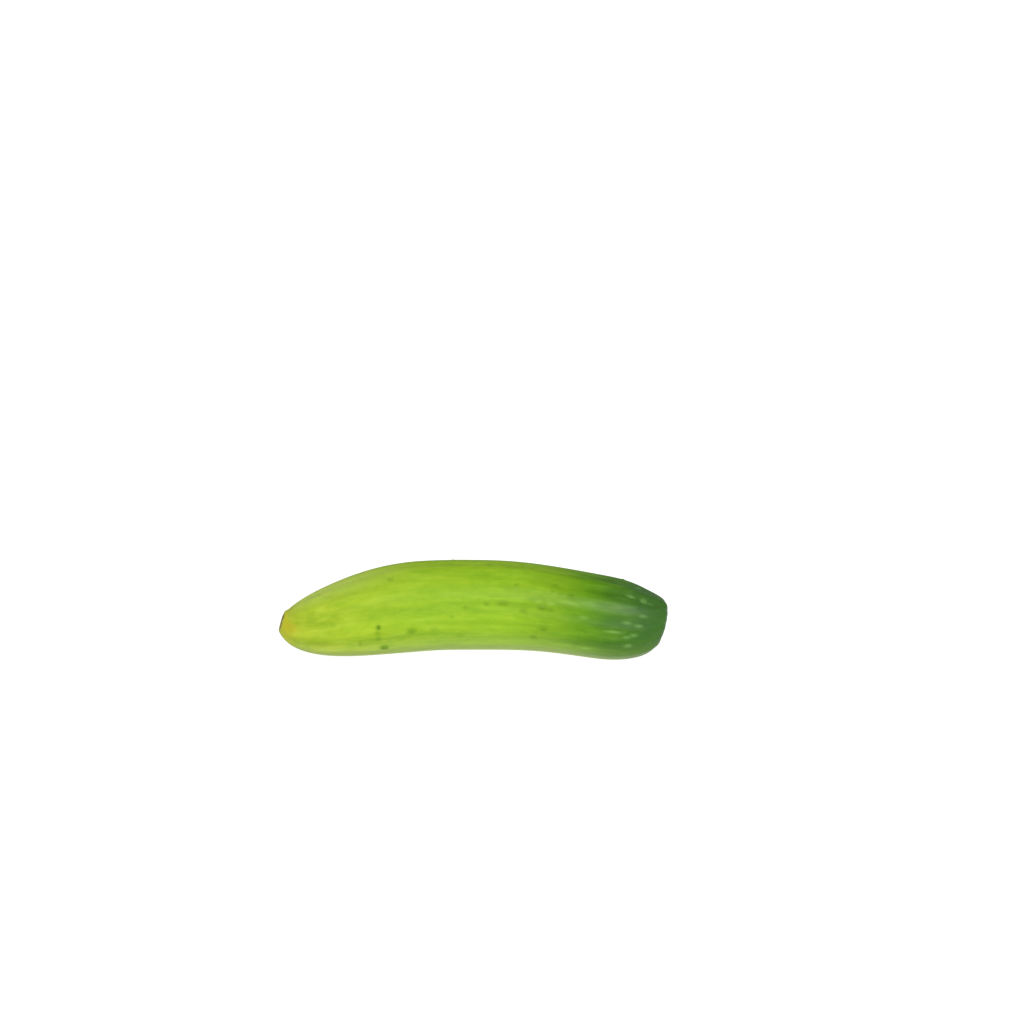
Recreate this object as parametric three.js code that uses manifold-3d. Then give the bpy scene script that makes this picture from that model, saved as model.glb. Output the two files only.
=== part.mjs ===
// A baby cucumber as picked: one grown fruit, lying on its side on a small flat spot.
// Millimetres, +Z up. +X runs from the blossom end to the stem end. The fruit bows, and its two ends come towards -Y.
// The origin is on the flat spot, under the middle of the fruit's length.

import * as THREE from "three";
import { mergeVertices } from "three/addons/utils/BufferGeometryUtils.js";
import Module from "manifold-3d";

// Driving dimensions of the fruit
const LENGTH = 115; // tip to tip, straight across
const GIRTH = 26.7; // thickest diameter
const THICKEST_AT = -6; // where along the length the body starts to thin towards the stem
const BLOSSOM_END_LENGTH = 43.8; // how far the pointed blossom end tapers
const BLOSSOM_END_FULLNESS = 2.09; // 2 is an ellipse, more is fuller
const STEM_END_LENGTH = 20.3; // the blunt round of the stem end
const STEM_END_FULLNESS = 2.3;
const STEM_THINNING = 0.107; // share of the girth that is lost over the run below
const STEM_THINNING_RUN = 49.3;
const STEM_THINNING_POWER = 1.28;

// How it bends and lies
// Bow of each side: how far it comes off the middle's line, how much of that is near the end, and where it levels out
const BLOSSOM_BOW = { offset: 8.28, lag: 1.345, peak: 0.968 };
const STEM_BOW = { offset: 6.2, lag: 1.22, peak: 0.918 };
const ROLL = THREE.MathUtils.degToRad(15); // the bow tips down towards the floor, as weight rolls it
const PITCH = THREE.MathUtils.degToRad(0.4); // the slimmer stem side sinks a little
const FLAT_DEPTH = 0.5; // how much the belly is flattened where it rests

// Relief of the skin: how many go round the section, how high they stand, how unevenly they are spaced
// round it (wander) and how far they turn along the length (drift)
const LOBES = { count: 3, height: 0.17, wander: 0, drift: 0 }; // the seed chambers inside
const RIBS = { count: 10, height: 0.13, wander: 0.9, drift: 0.5 };
const FINE_RIBS = { count: 17, height: 0.05, wander: 0.7, drift: -0.4 };
const RIBS_GROW = { by: 0.5, from: 0.2, to: 0.9 }; // ribs stand higher towards the stem
const SWELL = { height: 0.12, long: 5.1, short: 11.3 }; // slow unevenness along the length, and its waves
const RELIEF_FADE_RADIUS = 10; // relief dies away on the caps inside this radius
const BELLY_SMOOTH_FROM = Math.cos(THREE.MathUtils.degToRad(46));
const BELLY_SMOOTH_TO = Math.cos(THREE.MathUtils.degToRad(20));

// Warts: low domes where the young fruit had its spines
const WART_RADIUS = 0.75;
const WART_HEIGHT = 0.2;
const WART_ROOT = 0.5; // how deep a dome reaches into the flesh
const WART_STRETCH = 1.3; // they grow longer than wide
const WART_SIDES = 6;
const SCATTERED_WARTS = 44; // tries, of which those on the belly fall away
const WART_SEED = 41;
const WART_REACH = 0.84; // share of the half length that has warts
const WART_FREE_BELLY = THREE.MathUtils.degToRad(58); // half angle under the fruit that has none
// [place along the length, degrees round from the top, size]
const PLACED_WARTS = [
  [-36.1, 94, 0.8],
  [-30.2, 70, 1.1],
  [-29.3, 105, 1.3],
  [-20.1, 81, 0.9],
  [-12.7, 80, 0.7],
  [-4.4, 92, 0.8],
  [8.6, 47, 1.1],
  [15.1, 55, 0.8],
  [18.9, 92, 0.9],
  [20.7, 49, 1.1],
  [21.9, 78, 0.9],
  [23.6, 15, 0.8],
  [28.7, 28, 1.0],
  [32.8, 95, 0.8],
  [42.0, 70, 1.1],
  [45.8, 90, 0.9],
  [49.1, 11, 0.9],
];

// The two scars: [radius, how far the ring stands out of the tip] from the axis outwards
const BLOSSOM_SCAR = [
  [0, -1.21],
  [0.6, -1.25],
  [1.2, -1.21],
  [1.8, -1.09],
  [2.2, -0.9],
  [2.5, -0.85],
  [2.85, -0.9],
];
const STEM_SCAR = [
  [0, -2.85],
  [0.8, -2.7],
  [1.5, -2.65],
  [1.9, -2.75],
  [2.15, -3.15],
  [2.6, -3.2],
  [3.1, -2.9],
  [3.7, -2.6],
  [4.7, -2.45],
  [5.6, -2.48],
  [6.3, -2.62],
];
// How a scar's face leans: its tilt, how far it lies above the axis, and the radii between which both die away
const BLOSSOM_LEAN = { tilt: THREE.MathUtils.degToRad(19.5), lift: 2.07, from: 2.6, to: 5.7 }; // it looks upwards
const STEM_LEAN = { tilt: THREE.MathUtils.degToRad(16), lift: 0, from: 5.5, to: 10.3 }; // it looks downwards

// How finely the skin is faceted
const SIDES = 48;
const BODY_RINGS = 66;
const RING_CROWDING = 0.8; // 0 spaces the rings evenly, 1 crowds them at the ends
const PROBE = 0.05; // small step that gives a direction along the axis or the skin
const CAP_GAP = 0.5; // from a scar's last ring out to the first ring of the body

const HALF = LENGTH / 2;
const { smoothstep, lerp } = THREE.MathUtils;

// Radius of the smooth body at a place along the length.
function bodyRadius(along) {
  const fromBlossom = Math.min((along + HALF) / BLOSSOM_END_LENGTH, 1);
  const fromStem = Math.min((HALF - along) / STEM_END_LENGTH, 1);
  const blossomCap = (1 - (1 - fromBlossom) ** BLOSSOM_END_FULLNESS) ** (1 / BLOSSOM_END_FULLNESS);
  const stemCap = (1 - (1 - fromStem) ** STEM_END_FULLNESS) ** (1 / STEM_END_FULLNESS);
  const pastThickest = Math.max(along - THICKEST_AT, 0) / STEM_THINNING_RUN;
  const thinning = 1 - STEM_THINNING * pastThickest ** STEM_THINNING_POWER;
  return (GIRTH / 2) * blossomCap * stemCap * thinning;
}

// Where along the length the body has a given radius, on the cap at one end.
function alongOfRadius(radius, end) {
  let near = end * HALF;
  let far = THICKEST_AT;
  for (let step = 0; step < 40; step++) {
    const middle = (near + far) / 2;
    if (bodyRadius(middle) < radius) near = middle;
    else far = middle;
  }
  return (near + far) / 2;
}

// How far the axis lies off the straight line at a place along the length.
function bowAt(along) {
  const { offset, lag, peak } = along < 0 ? BLOSSOM_BOW : STEM_BOW;
  const share = Math.abs(along) / HALF;
  return (offset / 2) * (1 - Math.cos((Math.PI * share ** lag) / peak));
}

// Height of the axis over the lowest point of the belly, so that the fruit rests at its flat's depth.
function restingHeight() {
  let height = 0;
  for (let along = -HALF; along <= HALF; along += 0.5) {
    const drop = bowAt(along) * Math.sin(ROLL) + along * Math.tan(PITCH);
    height = Math.max(height, bodyRadius(along) + drop);
  }
  return height - FLAT_DEPTH;
}
const AXIS_HEIGHT = restingHeight();

// A point of the fruit's bent axis.
function axisPoint(along) {
  const bow = bowAt(along);
  const height = AXIS_HEIGHT - bow * Math.sin(ROLL) - along * Math.tan(PITCH);
  return new THREE.Vector3(along, -bow * Math.cos(ROLL), height);
}

// One set of ribs round the section. Angle 0 is up.
function ribsAt({ count, height, wander, drift }, angle, share) {
  return height * Math.cos(count * angle + wander * Math.sin(2 * angle + 1) + drift * share);
}

// How far the skin stands out of the smooth body: lobes, ribs and slow swellings.
function reliefAt(along, angle, radius) {
  const share = along / HALF;
  const grown = 1 + RIBS_GROW.by * smoothstep(share, RIBS_GROW.from, RIBS_GROW.to);
  const ribs = (ribsAt(RIBS, angle, share) + ribsAt(FINE_RIBS, angle, share)) * grown;
  const waves = Math.sin(SWELL.long * share + 2 * Math.sin(angle)) + Math.sin(SWELL.short * share) / 2;
  const offTheCaps = smoothstep(radius, 0, RELIEF_FADE_RADIUS);
  const offTheBelly = 1 - smoothstep(-Math.cos(angle), BELLY_SMOOTH_FROM, BELLY_SMOOTH_TO);
  return (ribsAt(LOBES, angle, share) + ribs + SWELL.height * waves) * offTheCaps * offTheBelly;
}

// One end's scar rings, as outline points from the axis outwards.
function scarOutline(rings, end) {
  return rings.map(([radius, stand]) => new THREE.Vector2(radius, end * (HALF + stand)));
}

// The fruit's outline before it is bent: x is the radius, y the place along the length.
function outline() {
  const blossomEdge = BLOSSOM_SCAR[BLOSSOM_SCAR.length - 1][0];
  const stemEdge = STEM_SCAR[STEM_SCAR.length - 1][0];
  const from = alongOfRadius(blossomEdge + CAP_GAP, -1);
  const to = alongOfRadius(stemEdge + CAP_GAP, 1);
  const body = Array.from({ length: BODY_RINGS + 1 }, (_, ring) => {
    const even = ring / BODY_RINGS;
    const crowded = (1 - Math.cos(Math.PI * even)) / 2;
    const along = lerp(from, to, lerp(even, crowded, RING_CROWDING));
    return new THREE.Vector2(bodyRadius(along), along);
  });
  return [...scarOutline(BLOSSOM_SCAR, -1), ...body, ...scarOutline(STEM_SCAR, 1).reverse()];
}

// Moves a point of the straight, smooth lathe form to its place on the bent fruit.
function growSkin(point) {
  const angle = Math.atan2(point.x, point.z);
  const smooth = Math.hypot(point.x, point.z);
  const along = point.y;
  const radius = smooth + reliefAt(along, angle, smooth);
  const ahead = axisPoint(along + PROBE);
  const behind = axisPoint(along - PROBE);
  const forward = ahead.sub(behind).normalize();
  const up = new THREE.Vector3(0, 0, 1);
  up.addScaledVector(forward, -up.dot(forward)).normalize();
  const side = new THREE.Vector3().crossVectors(forward, up);
  const { tilt, lift, from, to } = along < 0 ? BLOSSOM_LEAN : STEM_LEAN;
  const felt = 1 - smoothstep(smooth, from, to);
  return point
    .copy(axisPoint(along))
    .addScaledVector(up, radius * Math.cos(angle) + lift * felt)
    .addScaledVector(side, radius * Math.sin(angle))
    .addScaledVector(forward, Math.tan(tilt) * felt * radius * Math.cos(angle));
}

// A closed geometry with shared vertices merged and collapsed triangles dropped.
function closedGeometry(geometry) {
  geometry.deleteAttribute("normal");
  geometry.deleteAttribute("uv");
  const merged = mergeVertices(geometry, 1e-4);
  const corners = merged.index.array;
  const kept = [];
  for (let i = 0; i < corners.length; i += 3) {
    const [a, b, c] = [corners[i], corners[i + 1], corners[i + 2]];
    if (a !== b && b !== c && c !== a) kept.push(a, b, c);
  }
  return merged.setIndex(kept);
}

const wasm = await Module();
wasm.setup();

// A closed geometry as a solid for the boolean cut.
function solidOf(geometry) {
  return new wasm.Manifold(
    new wasm.Mesh({
      numProp: 3,
      vertProperties: geometry.attributes.position.array,
      triVerts: new Uint32Array(geometry.index.array),
    }),
  );
}

// The solid's vertices and triangles as a geometry again.
function geometryOf(solid) {
  const { vertProperties, triVerts } = solid.getMesh();
  const geometry = new THREE.BufferGeometry();
  geometry.setAttribute("position", new THREE.BufferAttribute(vertProperties, 3));
  geometry.setIndex(new THREE.BufferAttribute(triVerts, 1));
  geometry.computeVertexNormals();
  return geometry;
}

// The point of the grown skin at a place along the length and an angle round from the top.
function skinPoint(along, angle) {
  const radius = bodyRadius(along);
  return growSkin(new THREE.Vector3(radius * Math.sin(angle), along, radius * Math.cos(angle)));
}

// One wart as a closed dome, square to the skin and rooted in it.
function wartSolid(along, angle, size) {
  const radius = WART_RADIUS * size;
  const height = WART_HEIGHT * size;
  const dome = [
    [0, -WART_ROOT],
    [radius, -WART_ROOT / 2],
    [0.85 * radius, 0.35 * height],
    [0.5 * radius, 0.85 * height],
    [0, height],
  ];
  const lengthwise = skinPoint(along + PROBE, angle).sub(skinPoint(along - PROBE, angle)).normalize();
  const across = skinPoint(along, angle + PROBE).sub(skinPoint(along, angle - PROBE)).normalize();
  const outwards = new THREE.Vector3().crossVectors(across, lengthwise).normalize();
  across.crossVectors(lengthwise, outwards);
  const geometry = new THREE.LatheGeometry(dome.map(([x, y]) => new THREE.Vector2(x, y)), WART_SIDES);
  geometry.scale(WART_STRETCH, 1, 1);
  geometry.applyMatrix4(new THREE.Matrix4().makeBasis(lengthwise, outwards, across));
  const place = skinPoint(along, angle);
  geometry.translate(place.x, place.y, place.z);
  return solidOf(closedGeometry(geometry));
}

// All warts: the placed ones, and seeded ones that keep off the belly.
function wartSolids() {
  let state = WART_SEED;
  const draw = () => {
    state = (state * 1664525 + 1013904223) % 4294967296;
    return state / 4294967296;
  };
  const placed = PLACED_WARTS.map(([along, degrees, size]) => [along, THREE.MathUtils.degToRad(degrees), size]);
  const scattered = Array.from({ length: SCATTERED_WARTS }, () => {
    const along = lerp(-WART_REACH, WART_REACH, draw()) * HALF;
    const angle = lerp(-Math.PI, Math.PI, draw());
    return [along, angle, lerp(0.6, 1.1, draw())];
  });
  const offTheBelly = scattered.filter(([, angle]) => Math.abs(angle) < Math.PI - WART_FREE_BELLY);
  return [...placed, ...offTheBelly].map(([along, angle, size]) => wartSolid(along, angle, size));
}

// The fruit: a lathe form, bent, given its relief and warts, and cut flat where it rests.
function fruitGeometry() {
  const skin = closedGeometry(new THREE.LatheGeometry(outline(), SIDES));
  const place = skin.attributes.position;
  const point = new THREE.Vector3();
  for (let i = 0; i < place.count; i++) {
    growSkin(point.fromBufferAttribute(place, i));
    place.setXYZ(i, point.x, point.y, point.z);
  }
  const floor = new THREE.BoxGeometry(2 * LENGTH, 4 * GIRTH, GIRTH);
  floor.translate(0, 0, -GIRTH / 2);
  const grown = wasm.Manifold.union([solidOf(skin), ...wartSolids()]);
  return geometryOf(grown.subtract(solidOf(closedGeometry(floor))));
}

const skinMaterial = new THREE.MeshStandardMaterial({ color: "#9dc53b", roughness: 0.42, metalness: 0 });

const cucumber = new THREE.Mesh(fruitGeometry(), skinMaterial);
cucumber.name = "cucumber";

const fruit = new THREE.Group();
fruit.add(cucumber);

export default fruit;
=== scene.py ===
"""Dresses the baby cucumber: its skin, its two scars, the light table and the soft studio light.

Metres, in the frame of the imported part: +X from the blossom end to the stem end, +Z up, and the origin on the
flat spot. The shapes repeat the part's own formulas in millimetres, on a much finer mesh.
"""

import logging
import math
from dataclasses import dataclass, field, replace
from enum import Enum, IntEnum
from typing import Sequence, Union

import bpy
import mathutils
import numpy as np
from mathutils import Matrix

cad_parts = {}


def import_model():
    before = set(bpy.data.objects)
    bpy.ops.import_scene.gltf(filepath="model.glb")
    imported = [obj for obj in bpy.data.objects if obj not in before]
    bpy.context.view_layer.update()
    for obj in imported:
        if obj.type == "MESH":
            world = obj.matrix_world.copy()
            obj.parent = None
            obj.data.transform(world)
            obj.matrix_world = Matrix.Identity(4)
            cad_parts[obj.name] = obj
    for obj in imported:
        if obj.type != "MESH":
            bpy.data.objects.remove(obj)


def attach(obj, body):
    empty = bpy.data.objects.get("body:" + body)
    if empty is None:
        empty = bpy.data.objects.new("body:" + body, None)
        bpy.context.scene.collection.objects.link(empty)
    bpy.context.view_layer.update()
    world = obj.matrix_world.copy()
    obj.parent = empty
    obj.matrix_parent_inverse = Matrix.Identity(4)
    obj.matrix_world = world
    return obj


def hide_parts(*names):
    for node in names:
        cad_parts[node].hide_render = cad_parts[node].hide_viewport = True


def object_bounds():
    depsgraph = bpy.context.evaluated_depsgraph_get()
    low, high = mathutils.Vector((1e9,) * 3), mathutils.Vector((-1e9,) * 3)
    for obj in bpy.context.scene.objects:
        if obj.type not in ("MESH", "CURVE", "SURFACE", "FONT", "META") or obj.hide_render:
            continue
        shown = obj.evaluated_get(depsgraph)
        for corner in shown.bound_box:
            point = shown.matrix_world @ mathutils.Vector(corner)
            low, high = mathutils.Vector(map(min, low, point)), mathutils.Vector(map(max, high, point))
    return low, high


LOG = logging.getLogger("baby_cucumber")
MM = 0.001
Span = tuple[float, float]
Triple = tuple[float, float, float]
Zone = tuple[float, float, float, float]
Paint = tuple[float, float, float, float]
Stops = tuple[tuple[float, Paint], ...]
Number = Union[float, "Value"]
# The curve between a screen's levels and linear light: its knee, slope, offset and power
SCREEN_KNEE = 0.04045
SCREEN_SLOPE = 12.92
SCREEN_OFFSET = 0.055
SCREEN_POWER = 2.4
# The value that noise swings round, and the millimetres in a centimetre, the unit of the noise's coordinates
NOISE_MIDDLE = 0.5
MM_PER_CM = 10
WHITE: Paint = (1.0, 1.0, 1.0, 1.0)


def display(red: float, green: float, blue: float) -> Paint:
    """Turns a colour as a screen shows it into the linear one that a shader takes.

    Args:
        red: Red from 0 to 255.
        green: Green from 0 to 255.
        blue: Blue from 0 to 255.

    Returns:
        The linear colour with full alpha.
    """

    def linear(level: float) -> float:
        """The linear share of one channel."""
        share = level / 255
        if share <= SCREEN_KNEE:
            return share / SCREEN_SLOPE
        return ((share + SCREEN_OFFSET) / (1 + SCREEN_OFFSET)) ** SCREEN_POWER

    return linear(red), linear(green), linear(blue), 1.0


def smoothstep(value: np.ndarray, low: float, high: float) -> np.ndarray:
    """Rises smoothly from 0 at low to 1 at high."""
    share = np.clip((value - low) / (high - low), 0, 1)
    return share * share * (3 - 2 * share)


def within(value: np.ndarray, zone: Zone) -> np.ndarray:
    """Rises from 0 to 1 over the first two places of a zone and dies away over its last two."""
    return smoothstep(value, zone[0], zone[1]) * (1 - smoothstep(value, zone[2], zone[3]))


def bulge(value: np.ndarray, middle: float, wide: float) -> np.ndarray:
    """A round bulge, 1 at its middle and fading over its width."""
    return np.exp(-(((value - middle) / wide) ** 2))


class End(IntEnum):
    """The two ends of the fruit, by the sign of their place along it."""

    BLOSSOM = -1
    STEM = 1


class RaggedLine(Enum):
    """The uneven lines of the scars, by the number that seeds each."""

    BLOSSOM_EDGE = 1.0
    BLOSSOM_WRINKLES = 2.0
    STEM_EDGE = 3.0
    CALLUS_HEIGHT = 4.0
    BLOSSOM_RIM = 5.0
    CALLUS_TONE = 6.0


class Value:
    """A number that changes over a surface. Sums and products of it add Math nodes."""

    def __init__(self, sheet: "MaterialSheet", socket: bpy.types.NodeSocket) -> None:
        """Wraps a socket of one material's nodes."""
        self.sheet = sheet
        self.socket = socket

    def combined(self, operation: str, first: Number, second: Number) -> "Value":
        """Adds one Math node.

        Args:
            operation: The Math node's operation.
            first: Its first value.
            second: Its second value.

        Returns:
            The node's result.
        """
        node = self.sheet.node("ShaderNodeMath", {"operation": operation}, {0: first, 1: second})
        return Value(self.sheet, node.outputs[0])

    def __add__(self, other: Number) -> "Value":
        """self + other."""
        return self.combined("ADD", self, other)

    def __radd__(self, other: Number) -> "Value":
        """other + self."""
        return self.combined("ADD", other, self)

    def __sub__(self, other: Number) -> "Value":
        """self - other."""
        return self.combined("SUBTRACT", self, other)

    def __rsub__(self, other: Number) -> "Value":
        """other - self."""
        return self.combined("SUBTRACT", other, self)

    def __mul__(self, other: Number) -> "Value":
        """self * other."""
        return self.combined("MULTIPLY", self, other)

    def __rmul__(self, other: Number) -> "Value":
        """other * self."""
        return self.combined("MULTIPLY", other, self)

    def rising(self, low: float, high: float) -> "Value":
        """Rises smoothly from 0 where this is low to 1 where it is high.

        Args:
            low: Where the rise starts.
            high: Where it ends. Below low, the result falls instead.

        Returns:
            A mask from 0 to 1.
        """
        bounds = (low, high, 0.0, 1.0) if low < high else (high, low, 1.0, 0.0)
        settings = {"interpolation_type": "SMOOTHSTEP"}
        node = self.sheet.node("ShaderNodeMapRange", settings, dict(enumerate((self, *bounds))))
        return Value(self.sheet, node.outputs[0])


class Vector:
    """A place on a surface. It goes through Vector Math nodes alone."""

    def __init__(self, sheet: "MaterialSheet", socket: bpy.types.NodeSocket) -> None:
        """Wraps a vector socket of one material's nodes."""
        self.sheet = sheet
        self.socket = socket

    def stretched(self, factors: Triple) -> "Vector":
        """This place with each coordinate multiplied by its factor."""
        node = self.sheet.node("ShaderNodeVectorMath", {"operation": "MULTIPLY"}, {0: self, 1: factors})
        return Vector(self.sheet, node.outputs[0])

    def moved(self, shift: Triple) -> "Vector":
        """This place moved by a shift."""
        node = self.sheet.node("ShaderNodeVectorMath", {"operation": "ADD"}, {0: self, 1: shift})
        return Vector(self.sheet, node.outputs[0])

    def noise(self, scale: float, detail: float, roughness: float) -> Value:
        """Cloudy noise at this place.

        Args:
            scale: How many blobs there are to a unit of the coordinates.
            detail: How many finer layers it has.
            roughness: How strong the finer layers are.

        Returns:
            A value round its middle.
        """
        inputs = {"Vector": self, "Scale": scale, "Detail": detail, "Roughness": roughness}
        return Value(self.sheet, self.sheet.node("ShaderNodeTexNoise", {}, inputs).outputs["Fac"])


class Colour:
    """A colour that changes over a surface. It goes through Mix nodes alone."""

    def __init__(self, sheet: "MaterialSheet", socket: bpy.types.NodeSocket) -> None:
        """Wraps a colour socket of one material's nodes."""
        self.sheet = sheet
        self.socket = socket

    def blended(self, blend: str, other: "Colour | Paint", mask: Number) -> "Colour":
        """Adds one Mix node.

        Args:
            blend: Its way to blend.
            other: The other colour.
            mask: How much of the other colour shows.

        Returns:
            The blended colour.
        """
        settings = {"data_type": "RGBA", "blend_type": blend}
        node = self.sheet.node("ShaderNodeMix", settings, {0: mask, 6: self, 7: other})
        return Colour(self.sheet, node.outputs[2])

    def towards(self, other: "Colour | Paint", mask: Number) -> "Colour":
        """This colour where the mask is 0, the other one where it is 1."""
        return self.blended("MIX", other, mask)

    def tinted(self, other: "Colour | Paint", mask: Number) -> "Colour":
        """This colour multiplied by the other one, as far as the mask says."""
        return self.blended("MULTIPLY", other, mask)


class MaterialSheet:
    """The nodes of one material, and the ways that add to them."""

    def __init__(self, name: str) -> None:
        """Starts a material with an empty node tree."""
        self.material = bpy.data.materials.new(name)
        self.material.use_nodes = True
        self.tree = self.material.node_tree
        self.tree.nodes.clear()

    def node(self, kind: str, settings: dict[str, object], inputs: dict[str | int, object]) -> bpy.types.Node:
        """Adds a node, sets it up, then fills or links its sockets.

        Args:
            kind: The node's type.
            settings: Its settings. The stops of a ramp are pairs of place and colour.
            inputs: Values or links, by the socket's name or number.

        Returns:
            The new node.
        """
        node = self.tree.nodes.new(kind)
        for name, setting in settings.items():
            if name == "stops":
                self.fill_ramp(node, setting)
            else:
                setattr(node, name, setting)
        for name, value in inputs.items():
            if isinstance(value, (Value, Vector, Colour)):
                self.tree.links.new(value.socket, node.inputs[name])
            else:
                node.inputs[name].default_value = value
        return node

    def fill_ramp(self, node: bpy.types.Node, stops: Stops) -> None:
        """Gives a Color Ramp node its stops.

        Args:
            node: The ramp.
            stops: Pairs of place, from 0 to 1, and colour, in order.
        """
        elements = node.color_ramp.elements
        while len(elements) < len(stops):
            elements.new(1.0)
        for element, (place, colour) in zip(elements, stops):
            element.position = place
            element.color = colour

    def number(self, name: str) -> Value:
        """A number that the mesh carries at each vertex."""
        node = self.node("ShaderNodeAttribute", {"attribute_name": name}, {})
        return Value(self, node.outputs["Fac"])

    def place(self, name: str) -> Vector:
        """A place that the mesh carries at each vertex."""
        node = self.node("ShaderNodeAttribute", {"attribute_name": name}, {})
        return Vector(self, node.outputs["Vector"])

    def ramp(self, value: Value, stops: Stops) -> Colour:
        """Looks a value up in a row of colours.

        Args:
            value: From 0 to 1.
            stops: Pairs of place and colour, in order.

        Returns:
            The colour there.
        """
        node = self.node("ShaderNodeValToRGB", {"stops": stops}, {"Fac": value})
        return Colour(self, node.outputs["Color"])

    def bump(self, height: Value, depth: float, strength: float) -> Vector:
        """Turns a height into a bent normal.

        Args:
            height: The height, from 0 to 1.
            depth: How deep a height of 1 is, in metres.
            strength: How much of it shows.

        Returns:
            The normal.
        """
        node = self.node("ShaderNodeBump", {}, {"Height": height, "Distance": depth, "Strength": strength})
        return Vector(self, node.outputs["Normal"])

    def surface(self, inputs: dict[str | int, object]) -> bpy.types.Material:
        """Ends the material in a Principled shader.

        Args:
            inputs: Values or links of the shader's sockets.

        Returns:
            The finished material.
        """
        shader = self.node("ShaderNodeBsdfPrincipled", {}, inputs)
        out = self.node("ShaderNodeOutputMaterial", {}, {})
        self.tree.links.new(shader.outputs[0], out.inputs["Surface"])
        return self.material


@dataclass(frozen=True)
class Bow:
    """How one side of the fruit comes off the straight line, in millimetres and shares."""

    offset: float
    lag: float
    peak: float

    def at(self, share: np.ndarray) -> np.ndarray:
        """The bow at a share of the half length."""
        return (self.offset / 2) * (1 - np.cos(math.pi * share**self.lag / self.peak))


@dataclass(frozen=True)
class Ribs:
    """One set of ribs: how many go round, how high, how uneven they are and how they turn along the fruit."""

    count: int
    height: float
    wander: float
    drift: float

    def at(self, angle: np.ndarray, share: np.ndarray) -> np.ndarray:
        """How far they stand out at an angle round from the top and a share of the half length."""
        turned = self.count * angle + self.wander * np.sin(2 * angle + 1) + self.drift * share
        return self.height * np.cos(turned)


@dataclass(frozen=True)
class Lean:
    """How a scar's face leans: its tilt, its lift off the axis, and the radii between which both die away."""

    tilt: float
    lift: float
    start: float
    end: float


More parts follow.
